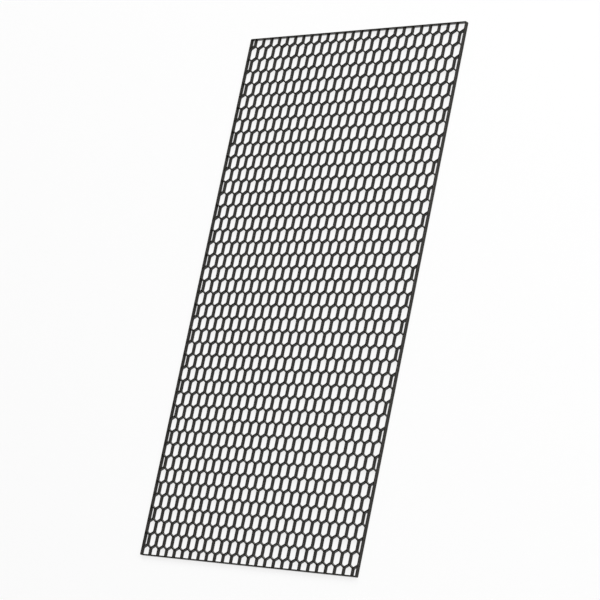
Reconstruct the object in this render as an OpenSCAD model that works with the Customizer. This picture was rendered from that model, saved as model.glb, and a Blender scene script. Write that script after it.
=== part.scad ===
// Grille mesh sheet: one flat moulded sheet of thin, deep ribs round long hexagonal openings,
// with a plain border bar as thin as the ribs.
// It lies on its back face at Z = 0, with its length along Y and its width along X.
// The mesh is centred on the sheet and the border cuts it, as it cuts the end rows and the
// half cells along the sides. The sheet is one moulding. It is written as seven sections
// that meet face to face across the middle of a row of openings.

/* [Sheet] */
// Length of the sheet
sheet_l = 750; // [260:10:1500]
// Width of the sheet
sheet_w = 400; // [80:10:800]
// Thickness of the sheet, which is the depth of its ribs
sheet_t = 5; // [1.5:0.1:12]
// Width of the plain border bar round the mesh
border_w = 1.7; // [1:0.1:20]
// Radius of the four outer corners
corner_r = 1.5; // [0.3:0.1:3]

/* [Mesh] */
// Spacing of the openings across the sheet
cell_w = 15.6; // [12:0.1:30]
// Spacing of the rows of openings along the sheet
row_pitch = 18.1; // [14:0.1:32]
// Width of the straight ribs, which run along the sheet
rib_w = 1.6; // [0.8:0.1:4]
// Width of the slanted ribs, which zigzag across the sheet
slant_rib_w = 1.6; // [0.8:0.1:4]
// Slope of the slanted ribs, in degrees from the width
slant_deg = 30; // [15:1:40]
// Area under which a cell that the border cuts is left closed
least_open = 2; // [1:0.5:20]

/* [Hidden] */
NODES = ["mesh_section_1", "mesh_section_2", "mesh_section_3", "mesh_section_4",
         "mesh_section_5", "mesh_section_6", "mesh_section_7"];
$fn = 48;
sections = len(NODES);
// Half the width and half the length of the mesh inside the border
mesh_x = sheet_w / 2 - border_w;
mesh_y = sheet_l / 2 - border_w;
// Rows of openings, and the most openings on either side of the middle one of a row
rows = 2 * ceil(mesh_y / row_pitch);
side_cells = ceil(mesh_x / cell_w);
// Half width of an opening, half its length from point to point, and half its straight side
open_x = (cell_w - rib_w) / 2;
open_y = (row_pitch + cell_w / 2 * tan(slant_deg)) / 2 - slant_rib_w / 2 / cos(slant_deg);
open_side = open_y - open_x * tan(slant_deg);

// Middle of row i along the sheet, with rows counted from 0 at the front end
function row_y(i) = (i - (rows - 1) / 2) * row_pitch;

// Middle of opening j of row i across the sheet, with openings counted from the middle one.
// Rows stand a quarter of a cell to the left and to the right of the centre line in turn
function cell_x(i, j) = (j + (i % 2 == 0 ? -0.25 : 0.25)) * cell_w;

// The six corners of an opening about its own middle, m
function opening(m) = [
    m + [open_x, open_side],
    m + [0, open_y],
    m + [-open_x, open_side],
    m + [-open_x, -open_side],
    m + [0, -open_y],
    m + [open_x, -open_side]
];

// The part of outline p on the near side of a straight line: where dir * point is under far
function trimmed(p, dir, far) = [
    for (k = [0:1:len(p) - 1])
        let (a = p[k], b = p[(k + 1) % len(p)], da = dir * a - far, db = dir * b - far)
            each concat(da <= 0 ? [a] : [], da * db < 0 ? [a + (b - a) * da / (da - db)] : [])
];

// The part of outline p inside the border
function inside_border(p) =
    let (left = trimmed(p, [-1, 0], mesh_x), sides = trimmed(left, [1, 0], mesh_x))
        trimmed(trimmed(sides, [0, 1], mesh_y), [0, -1], mesh_y);

// Twice the area of the triangle between the origin and side k of outline p
function side_area(p, k) = cross(p[k], p[(k + 1) % len(p)]);

// Area of outline p, summed from side k on
function area(p, k = 0) = k >= len(p) ? 0 : side_area(p, k) / 2 + area(p, k + 1);

// First row of openings that section s holds
function first_row(s) = floor(rows * s / sections);

// Where section s starts along the sheet: at its end, or across the middle of its first row
function start_y(s) = s == 0 ? -sheet_l / 2 : s == sections ? sheet_l / 2 : row_y(first_row(s));

module sheet_outline() {
    square([sheet_w - 2 * corner_r, sheet_l], center = true);
    square([sheet_w, sheet_l - 2 * corner_r], center = true);
    for (x = [-1, 1], y = [-1, 1])
        translate([x * (sheet_w / 2 - corner_r), y * (sheet_l / 2 - corner_r)])
            circle(corner_r);
}

// The openings of row i, with those that the border cuts
module row_openings(i) {
    for (j = [-side_cells:1:side_cells]) {
        hole = inside_border(opening([cell_x(i, j), row_y(i)]));
        if (abs(area(hole)) > least_open)
            polygon(hole);
    }
}

// One section of the sheet, s counted from 0 at the front end
module mesh_section(s) {
    color([0.17, 0.17, 0.165])
        linear_extrude(sheet_t)
            difference() {
                intersection() {
                    sheet_outline();
                    translate([-sheet_w / 2, start_y(s)])
                        square([sheet_w, start_y(s + 1) - start_y(s)]);
                }
                for (i = [first_row(s):1:min(first_row(s + 1), rows - 1)])
                    row_openings(i);
            }
}

mesh_section(0);  // mesh_section_1
mesh_section(1);  // mesh_section_2
mesh_section(2);  // mesh_section_3
mesh_section(3);  // mesh_section_4
mesh_section(4);  // mesh_section_5
mesh_section(5);  // mesh_section_6
mesh_section(6);  // mesh_section_7
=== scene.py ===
import math

import bpy
from mathutils import Matrix, Vector


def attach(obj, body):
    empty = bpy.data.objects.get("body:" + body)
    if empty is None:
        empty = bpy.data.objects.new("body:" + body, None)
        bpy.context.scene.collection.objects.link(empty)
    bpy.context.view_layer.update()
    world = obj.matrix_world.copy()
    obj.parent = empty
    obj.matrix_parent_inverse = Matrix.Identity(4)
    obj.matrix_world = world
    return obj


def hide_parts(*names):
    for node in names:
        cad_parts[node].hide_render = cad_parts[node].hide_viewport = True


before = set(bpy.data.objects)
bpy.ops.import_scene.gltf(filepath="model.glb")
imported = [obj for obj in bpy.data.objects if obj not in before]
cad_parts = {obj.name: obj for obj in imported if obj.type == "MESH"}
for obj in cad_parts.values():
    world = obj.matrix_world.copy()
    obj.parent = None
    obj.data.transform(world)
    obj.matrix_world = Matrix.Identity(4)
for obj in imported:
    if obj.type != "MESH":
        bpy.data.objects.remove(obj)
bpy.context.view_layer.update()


# The mesh sheet: one flat injection moulding in black satin plastic. Thin, deep ribs stand round
# long hexagonal openings, row set over from row by half a cell, and a border bar as thin as the
# ribs closes it, cutting the end rows and the half cells along the sides.
sheet_length = 0.750
sheet_width = 0.400
sheet_thickness = 0.005
border_width = 0.0017
outer_corner_radius = 0.0015
cell_width = 0.0156
row_pitch = 0.0181
rib_width = 0.0016
slant_angle = math.radians(30)
# The mould leaves the ribs' long edges a little round, and the corners of each opening too
rib_edge_round = 0.00014
opening_corner_cut = 0.00055
# A cell that would show less than this beside the border is left closed
least_slit = 0.0005
# As many rows and cells as it takes to reach the border
rows_of_openings = 2 * math.ceil((sheet_length / 2 - border_width) / row_pitch)
cells_each_side = math.ceil((sheet_width / 2 - border_width) / cell_width)

mesh_rule = bpy.data.node_groups.new("ribs_round_openings", "GeometryNodeTree")
mesh_rule.is_modifier = True
mesh_rule.interface.new_socket("Sheet", in_out="OUTPUT", socket_type="NodeSocketGeometry")
sheet_sizes = {
    "Sheet Length": sheet_length,
    "Sheet Width": sheet_width,
    "Thickness": sheet_thickness,
    "Border Width": border_width,
    "Outer Corner Radius": outer_corner_radius,
    "Cell Width": cell_width,
    "Row Pitch": row_pitch,
    "Rib Width": rib_width,
    "Slant": slant_angle,
    "Edge Round": rib_edge_round,
    "Corner Cut": opening_corner_cut,
    "Least Slit": least_slit,
    "Rows": rows_of_openings,
    "Cells Each Side": cells_each_side,
}
size_sockets = {}
for size_name, size_value in sheet_sizes.items():
    kind = "NodeSocketInt" if isinstance(size_value, int) else "NodeSocketFloat"
    size_sockets[size_name] = mesh_rule.interface.new_socket(size_name, in_out="INPUT", socket_type=kind)
finish_socket = mesh_rule.interface.new_socket("Plastic", in_out="INPUT", socket_type="NodeSocketMaterial")
given = mesh_rule.nodes.new("NodeGroupInput").outputs


def add_node(tree, node_kind, *sources, **settings):
    """Adds a node. Its inputs take the sources in order: a socket is linked, a value set, None left."""
    node = tree.nodes.new(node_kind)
    for setting, value in settings.items():
        setattr(node, setting, value)
    for socket, source in zip([s for s in node.inputs if s.enabled], sources):
        if isinstance(source, bpy.types.NodeSocket):
            tree.links.new(source, socket)
        elif source is not None:
            socket.default_value = source
    return node


def rule_step(node_kind, *sources, **settings):
    """Adds one step to the rule of the mesh and gives its result."""
    return add_node(mesh_rule, node_kind, *sources, **settings).outputs[0]


def maths(operation, *terms):
    return rule_step("ShaderNodeMath", *terms, operation=operation)


def plus(a, b):
    return maths("ADD", a, b)


def minus(a, b):
    return maths("SUBTRACT", a, b)


def times(a, b):
    return maths("MULTIPLY", a, b)


def over(a, b):
    return maths("DIVIDE", a, b)


def size_of(value):
    return maths("ABSOLUTE", value)


def sign_of(value):
    return maths("SIGN", value)


def is_more(a, b):
    return rule_step("FunctionNodeCompare", a, b, data_type="FLOAT", operation="GREATER_THAN")


def is_less(a, b):
    return rule_step("FunctionNodeCompare", a, b, data_type="FLOAT", operation="LESS_THAN")


def both(a, b):
    return rule_step("FunctionNodeBooleanMath", a, b, operation="AND")


def chosen(test, if_true, if_false):
    """One number or another, by a test."""
    return rule_step("GeometryNodeSwitch", test, if_false, if_true, input_type="FLOAT")


def kept_between(value, limit):
    """A value kept within plus and minus a limit."""
    return maths("MAXIMUM", maths("MINIMUM", value, limit), times(limit, -1.0))


def split(vector):
    return add_node(mesh_rule, "ShaderNodeSeparateXYZ", vector).outputs


def point_at(x, y, z):
    return rule_step("ShaderNodeCombineXYZ", x, y, z)


def marked(shape, mark_name, value, data_type="FLOAT_VECTOR", domain="POINT"):
    """Writes a value on each point or face of a shape, under a name."""
    return rule_step("GeometryNodeStoreNamedAttribute", shape, None, mark_name, value,
                     data_type=data_type, domain=domain)


def read_mark(mark_name):
    return split(rule_step("GeometryNodeInputNamedAttribute", mark_name, data_type="FLOAT_VECTOR"))


# Half sizes of the mesh inside the border, and of one opening
mesh_half_x = minus(times(given["Sheet Width"], 0.5), given["Border Width"])
mesh_half_y = minus(times(given["Sheet Length"], 0.5), given["Border Width"])
slope = maths("TANGENT", given["Slant"])
slant_cosine = maths("COSINE", given["Slant"])
opening_half_x = times(minus(given["Cell Width"], given["Rib Width"]), 0.5)
rise = times(times(given["Cell Width"], 0.5), slope)
half_row = times(plus(given["Row Pitch"], rise), 0.5)
half_rib = over(times(given["Rib Width"], 0.5), slant_cosine)
opening_half_y = minus(half_row, half_rib)

# Middles of the openings: rows along the sheet, a quarter of a cell to the left of the centre
# line and to the right of it in turn. Cells that the border would close are left out
index = rule_step("GeometryNodeInputIndex")
here = rule_step("GeometryNodeInputPosition")
per_row = plus(times(given["Cells Each Side"], 2.0), 1.0)
row = maths("FLOOR", over(plus(index, 0.5), per_row))
place_in_row = minus(minus(index, times(row, per_row)), given["Cells Each Side"])
is_odd_row = minus(row, times(maths("FLOOR", times(row, 0.5)), 2.0))
set_over = minus(times(is_odd_row, 0.5), 0.25)
middle_x = times(plus(place_in_row, set_over), given["Cell Width"])
middle_row = times(minus(given["Rows"], 1.0), 0.5)
middle_y = times(minus(row, middle_row), given["Row Pitch"])
middles = rule_step("GeometryNodePoints", times(per_row, given["Rows"]), point_at(middle_x, middle_y, 0.0))
middles = marked(middles, "opening_middle", here)
inner_side = minus(size_of(split(here)[0]), opening_half_x)
under_border = is_more(inner_side, minus(mesh_half_x, given["Least Slit"]))
middles = rule_step("GeometryNodeDeleteGeometry", middles, under_border, domain="POINT")

# The lining of an opening starts as one tiny tube, 12 points round and 4 rings deep
tube_points = 12
tube_steps = 3
tube_radius = 0.001
ring_spacing = 0.001
tube = rule_step("GeometryNodeMeshCylinder", tube_points, tube_steps, tube_radius,
                 tube_steps * ring_spacing, fill_type="NONE")
turned_tube = add_node(mesh_rule, "GeometryNodeTransform", tube)
turned_tube.inputs["Rotation"].default_value = (0.0, 0.0, math.pi / tube_points)
tube = marked(turned_tube.outputs[0], "tube_place", here)
linings = rule_step("GeometryNodeInstanceOnPoints", middles, None, tube)
linings = rule_step("GeometryNodeRealizeInstances", linings)

# Each point of a tube goes to its place round the opening: four to the ends of the straight
# sides, four to the tips, and four to the slanted sides near their outer ends. At the two faces
# the outline is wider by the edge's rounding, and everywhere it stops at the border
least_share_on_side = 0.85
most_share_at_tip = 0.5
tube_x, tube_y, tube_z = read_mark("tube_place")
centre_x, centre_y, _ = read_mark("opening_middle")
on_side = is_more(size_of(tube_x), least_share_on_side * tube_radius)
at_tip = is_less(size_of(tube_x), most_share_at_tip * tube_radius)
at_face = is_more(size_of(tube_z), ring_spacing)
wider = chosen(at_face, given["Edge Round"], 0.0)
wide_x = plus(opening_half_x, wider)
wide_y = plus(opening_half_y, over(wider, slant_cosine))
wide_side = minus(wide_y, times(wide_x, slope))
cut_x = times(given["Corner Cut"], slant_cosine)
cut_y = times(cut_x, slope)
reach_x = chosen(on_side, wide_x, chosen(at_tip, cut_x, minus(wide_x, cut_x)))
slanted_reach_y = chosen(at_tip, minus(wide_y, cut_y), plus(wide_side, cut_y))
reach_y = chosen(on_side, minus(wide_side, given["Corner Cut"]), slanted_reach_y)
free_x = plus(centre_x, times(reach_x, sign_of(tube_x)))
lining_x = kept_between(free_x, plus(mesh_half_x, wider))
off_centre = size_of(minus(lining_x, centre_x))
slant_limit = minus(wide_y, times(off_centre, slope))
free_y = plus(centre_y, kept_between(times(reach_y, sign_of(tube_y)), slant_limit))
lining_y = kept_between(free_y, plus(mesh_half_y, wider))
half_thick = times(given["Thickness"], 0.5)
ring_reach = minus(half_thick, chosen(at_face, 0.0, given["Edge Round"]))
lining_z = plus(half_thick, times(ring_reach, sign_of(tube_z)))
linings = rule_step("GeometryNodeSetPosition", linings, None, point_at(lining_x, lining_y, lining_z))
weld_distance = 0.00002


def welded(shape):
    """Joins points that lie on each other."""
    node = add_node(mesh_rule, "GeometryNodeMergeByDistance", shape)
    node.inputs["Distance"].default_value = weld_distance
    return node.outputs[0]


linings = rule_step("GeometryNodeFlipFaces", welded(linings))

# The outer side of the border, swept round the sheet's outline with the same round edges. Its
# section is a line of four points, with the first and the last on the two faces
corner_steps = 4
outline = rule_step("GeometryNodeCurvePrimitiveQuadrilateral", given["Sheet Width"], given["Sheet Length"])
round_outline = add_node(mesh_rule, "GeometryNodeFilletCurve", outline, mode="POLY")
mesh_rule.links.new(given["Outer Corner Radius"], round_outline.inputs["Radius"])
round_outline.inputs["Count"].default_value = corner_steps
round_outline.inputs["Limit Radius"].default_value = True
section_points = 4
from_mid_point = minus(index, (section_points - 1) / 2)
section_end = is_more(size_of(from_mid_point), 1.0)
section_in = chosen(section_end, times(given["Edge Round"], -1.0), 0.0)
section_reach = minus(half_thick, chosen(section_end, 0.0, given["Edge Round"]))
section_down = minus(times(section_reach, sign_of(from_mid_point)), half_thick)
section = rule_step("GeometryNodeMeshLine", section_points, mode="OFFSET")
section = rule_step("GeometryNodeSetPosition", section, None, point_at(section_in, section_down, 0.0))
section = rule_step("GeometryNodeMeshToCurve", section)
side = rule_step("GeometryNodeCurveToMesh", round_outline.outputs[0], section)


def joined(*shapes):
    node = add_node(mesh_rule, "GeometryNodeJoinGeometry")
    for shape in shapes:
        mesh_rule.links.new(shape, node.inputs[0])
    return node.outputs[0]


# The two faces fill the space between the outlines, and all is welded into one closed moulding
face_allowance = 0.00005
walls = joined(side, linings)
line_ends = add_node(mesh_rule, "GeometryNodeInputMeshEdgeVertices").outputs
just_under_face = minus(given["Thickness"], face_allowance)
on_face = both(is_more(split(line_ends["Position 1"])[2], just_under_face),
               is_more(split(line_ends["Position 2"])[2], just_under_face))
face_lines = rule_step("GeometryNodeMeshToCurve", walls, on_face)
face = rule_step("GeometryNodeFillCurve", face_lines, mode="TRIANGLES")
front = add_node(mesh_rule, "GeometryNodeTransform", face)
mesh_rule.links.new(point_at(0.0, 0.0, given["Thickness"]), front.inputs["Translation"])
back = rule_step("GeometryNodeFlipFaces", face)
sheet = welded(joined(walls, front.outputs[0], back))

# The round edges are marked, because wear shows there first, and the paler colour painted there is also a
# painted highlight along the edges. Their middles lie about half the edge's rounding under a face
least_share_under_face = 0.1
most_share_under_face = 0.9
from_middle = size_of(minus(split(here)[2], half_thick))
clear_of_wall = is_more(from_middle, minus(half_thick, times(given["Edge Round"], most_share_under_face)))
clear_of_face = is_less(from_middle, minus(half_thick, times(given["Edge Round"], least_share_under_face)))
edge_amount = chosen(both(clear_of_wall, clear_of_face), 1.0, 0.0)
sheet = marked(sheet, "rib_edge", edge_amount, data_type="FLOAT", domain="FACE")
for spent in ("tube_place", "opening_middle"):
    sheet = rule_step("GeometryNodeRemoveAttribute", sheet, spent)
sheet = rule_step("GeometryNodeSetShadeSmooth", sheet, None, False)
sheet = rule_step("GeometryNodeRealizeInstances", sheet)
sheet = rule_step("GeometryNodeSetMaterial", sheet, None, given["Plastic"])
mesh_rule.links.new(sheet, mesh_rule.nodes.new("NodeGroupOutput").inputs[0])

# Satin black plastic: fine mould grain, a cloudy gloss from handling, edges rubbed paler, the pale edges
# partly a painted highlight
black_low = (0.0072, 0.0059, 0.0036, 1)
black_high = (0.0115, 0.0096, 0.0063, 1)
speckle_colour = (0.022, 0.0195, 0.0158, 1)
# Pale colour of the round edges: partly rubbed wear, partly a painted highlight
rubbed_edge_and_highlight_colour = (0.047, 0.0435, 0.0375, 1)
edge_polish = 0.10
speckle_relief = 1.6
sheet_plastic = bpy.data.materials.new("satin_black_plastic")
sheet_plastic.use_nodes = True
plastic_tree = sheet_plastic.node_tree
plastic = plastic_tree.nodes["Principled BSDF"]
plastic.inputs["IOR"].default_value = 1.46
plastic.inputs["Specular IOR Level"].default_value = 0.33
place_on_sheet = plastic_tree.nodes.new("ShaderNodeTexCoord").outputs["Object"]


def grain(patch_size, detail, roughness):
    """Noise whose patches are about patch_size metres across, as one socket from 0 to 1."""
    node = add_node(plastic_tree, "ShaderNodeTexNoise")
    plastic_tree.links.new(place_on_sheet, node.inputs["Vector"])
    node.inputs["Scale"].default_value = 1.0 / patch_size
    node.inputs["Detail"].default_value = detail
    node.inputs["Roughness"].default_value = roughness
    return node.outputs["Fac"]


def spread(source, part, over_range):
    """Stretches a part of a pattern's range over another range. Each is a pair, from and to."""
    node = add_node(plastic_tree, "ShaderNodeMapRange")
    plastic_tree.links.new(source, node.inputs["Value"])
    for socket, value in zip(("From Min", "From Max", "To Min", "To Max"), part + over_range):
        node.inputs[socket].default_value = value
    return node.outputs["Result"]


def blended(amount, first, second):
    """Mixes two colours, each a plain one or a socket."""
    return add_node(plastic_tree, "ShaderNodeMix", amount, first, second, data_type="RGBA").outputs[2]


def finish_step(operation, a, b):
    return add_node(plastic_tree, "ShaderNodeMath", a, b, operation=operation).outputs[0]


cloud = grain(patch_size=0.09, detail=4.0, roughness=0.6)
speckle = grain(patch_size=0.0022, detail=3.0, roughness=0.6)
mould_grain = grain(patch_size=0.00045, detail=2.0, roughness=0.5)
edge_mark = plastic_tree.nodes.new("ShaderNodeAttribute")
edge_mark.attribute_name = "rib_edge"
# Patchy pale colour on the round edges: partly rubbed wear, partly a painted highlight along every edge
patchy_wear_and_highlight = spread(grain(patch_size=0.013, detail=3.0, roughness=0.5), (0.42, 0.7), (0.15, 0.85))
rubbed_and_highlight_amount = finish_step("MULTIPLY", edge_mark.outputs["Fac"], patchy_wear_and_highlight)
body_colour = blended(spread(cloud, (0.3, 0.7), (0.0, 1.0)), black_low, black_high)
body_colour = blended(spread(speckle, (0.5, 0.8), (0.0, 0.35)), body_colour, speckle_colour)
body_colour = blended(rubbed_and_highlight_amount, body_colour, rubbed_edge_and_highlight_colour)
plastic_tree.links.new(body_colour, plastic.inputs["Base Color"])
cloudy_gloss = spread(cloud, (0.3, 0.7), (0.40, 0.30))
gloss = finish_step("ADD", cloudy_gloss, spread(speckle, (0.3, 0.7), (-0.04, 0.06)))
polish = finish_step("MULTIPLY", rubbed_and_highlight_amount, edge_polish)
plastic_tree.links.new(finish_step("SUBTRACT", gloss, polish), plastic.inputs["Roughness"])
relief = finish_step("ADD", mould_grain, finish_step("MULTIPLY", speckle, speckle_relief))
bump = plastic_tree.nodes.new("ShaderNodeBump")
bump.inputs["Strength"].default_value = 0.6
bump.inputs["Distance"].default_value = 0.00012
plastic_tree.links.new(relief, bump.inputs["Height"])
plastic_tree.links.new(bump.outputs["Normal"], plastic.inputs["Normal"])

# The rule runs once, and its result is kept as the sheet's own plain mesh
pattern = bpy.data.objects.new("sheet_rule", bpy.data.meshes.new("sheet_rule"))
bpy.context.scene.collection.objects.link(pattern)
rule_run = pattern.modifiers.new("ribs_round_openings", "NODES")
rule_run.node_group = mesh_rule
for size_name, size_value in sheet_sizes.items():
    rule_run[size_sockets[size_name].identifier] = size_value
rule_run[finish_socket.identifier] = sheet_plastic
ready = pattern.evaluated_get(bpy.context.evaluated_depsgraph_get())
moulding = bpy.data.meshes.new_from_object(ready)
moulding.name = "mesh_sheet"
moulding.materials.pop(index=0)
pattern.modifiers.remove(rule_run)
bpy.data.objects.remove(pattern)
mesh_sheet = bpy.data.objects.new("mesh_sheet", moulding)
bpy.context.scene.collection.objects.link(mesh_sheet)
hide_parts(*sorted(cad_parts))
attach(mesh_sheet, "root")


# The floor: a plain white studio floor that the sheet lies on. It is round, and sweeps up at its
# rim into a low wall. It shows white to the camera and in reflections, and takes the soft shadow.
floor_radius = 7.0
sweep_radius = 1.0
wall_top = 2.0
rim_points = 72
sweep_steps = 9
floor_profile = []
for step in range(sweep_steps + 1):
    turn = math.radians(90 * step / sweep_steps)
    ring_radius = floor_radius + sweep_radius * math.sin(turn)
    floor_profile.append((ring_radius, sweep_radius * (1 - math.cos(turn))))
floor_profile.append((floor_radius + sweep_radius, wall_top))
floor_points = []
for ring_radius, ring_height in floor_profile:
    for place in range(rim_points):
        around = math.tau * place / rim_points
        floor_points.append((ring_radius * math.cos(around), ring_radius * math.sin(around), ring_height))
floor_faces = [tuple(range(rim_points))]
for ring in range(len(floor_profile) - 1):
    inner = ring * rim_points
    outer = inner + rim_points
    for place in range(rim_points):
        after = (place + 1) % rim_points
        floor_faces.append((inner + place, outer + place, outer + after, inner + after))
floor_mesh = bpy.data.meshes.new("floor")
floor_mesh.from_pydata(floor_points, [], floor_faces)
floor_mesh.polygons.foreach_set("use_smooth", [True] * len(floor_mesh.polygons))
floor = bpy.data.objects.new("floor", floor_mesh)
bpy.context.scene.collection.objects.link(floor)

# The floor's paint: matte under the lamps, and mostly plain white to the camera and in reflections
floor_white = (0.90, 0.90, 0.90, 1)
plain_white = (1, 1, 1, 1)
plain_share = 0.84
floor_paint = bpy.data.materials.new("white_floor")
floor_paint.use_nodes = True
floor_tree = floor_paint.node_tree
floor_tree.nodes.clear()


def paint_step(node_kind, *sources, **settings):
    """Adds one step to the floor's paint and gives its result."""
    return add_node(floor_tree, node_kind, *sources, **settings).outputs[0]


matte = paint_step("ShaderNodeBsdfDiffuse", floor_white)
glow = paint_step("ShaderNodeEmission", plain_white, 1.0)
rays = floor_tree.nodes.new("ShaderNodeLightPath").outputs
looked_at = paint_step("ShaderNodeMath", rays["Is Camera Ray"], rays["Is Glossy Ray"], operation="ADD")
looked_at = paint_step("ShaderNodeMath", looked_at, rays["Is Transmission Ray"], operation="ADD")
white_amount = paint_step("ShaderNodeMath", looked_at, plain_share, operation="MULTIPLY", use_clamp=True)
floor_finish = paint_step("ShaderNodeMixShader", white_amount, matte, glow)
add_node(floor_tree, "ShaderNodeOutputMaterial", floor_finish)
floor_mesh.materials.append(floor_paint)


# The light: one large soft lamp at the sheet's right and a weaker one beyond its far end, in a
# plain dim white room. The openings' walls that face the lamps are lighter than the front face.
room_brightness = 0.10
room = bpy.data.worlds.new("studio")
bpy.context.scene.world = room
room.use_nodes = True
room.node_tree.nodes["Background"].inputs["Color"].default_value = plain_white
room.node_tree.nodes["Background"].inputs["Strength"].default_value = room_brightness


def soft_light(name, place, size, power):
    """A square lamp that faces the middle of the sheet."""
    lamp = bpy.data.lights.new(name, "AREA")
    lamp.size = size
    lamp.energy = power
    holder = bpy.data.objects.new(name, lamp)
    holder.location = place
    holder.rotation_euler = (-Vector(place)).to_track_quat("-Z", "Y").to_euler()
    bpy.context.scene.collection.objects.link(holder)


soft_light("right_softbox", place=(4.4, 2.0, 3.3), size=3.4, power=328)
soft_light("far_softbox", place=(-0.4, 4.6, 3.3), size=3.0, power=225)


# The camera: it looks down on the sheet from its right and a little from its near end, as the
# photograph shows the upper half of the sheet, with the sheet's length up the picture.
view_from = Vector((0.69, -0.20, 0.695)).normalized()
camera_distance = 3.65
camera_roll = math.radians(0.5)
aim = Vector((0.0, -0.010, sheet_thickness / 2))
film_width = 36
picture_width_in_pixels = 600
focal_length_in_pixels = 2715
far_limit = 50
camera_data = bpy.data.cameras.new("camera")
camera_data.sensor_width = film_width
camera_data.lens = film_width * focal_length_in_pixels / picture_width_in_pixels
camera_data.clip_end = far_limit
camera = bpy.data.objects.new("camera", camera_data)
bpy.context.scene.collection.objects.link(camera)
across = Vector((1, 0, 0)) - view_from * view_from.x
across.normalize()
across.rotate(Matrix.Rotation(camera_roll, 4, view_from))
upward = view_from.cross(across)
pose = Matrix((across, upward, view_from)).transposed().to_4x4()
pose.translation = aim + view_from * camera_distance
camera.matrix_world = pose
bpy.context.scene.camera = camera

bpy.context.scene.view_settings.view_transform = "Standard"
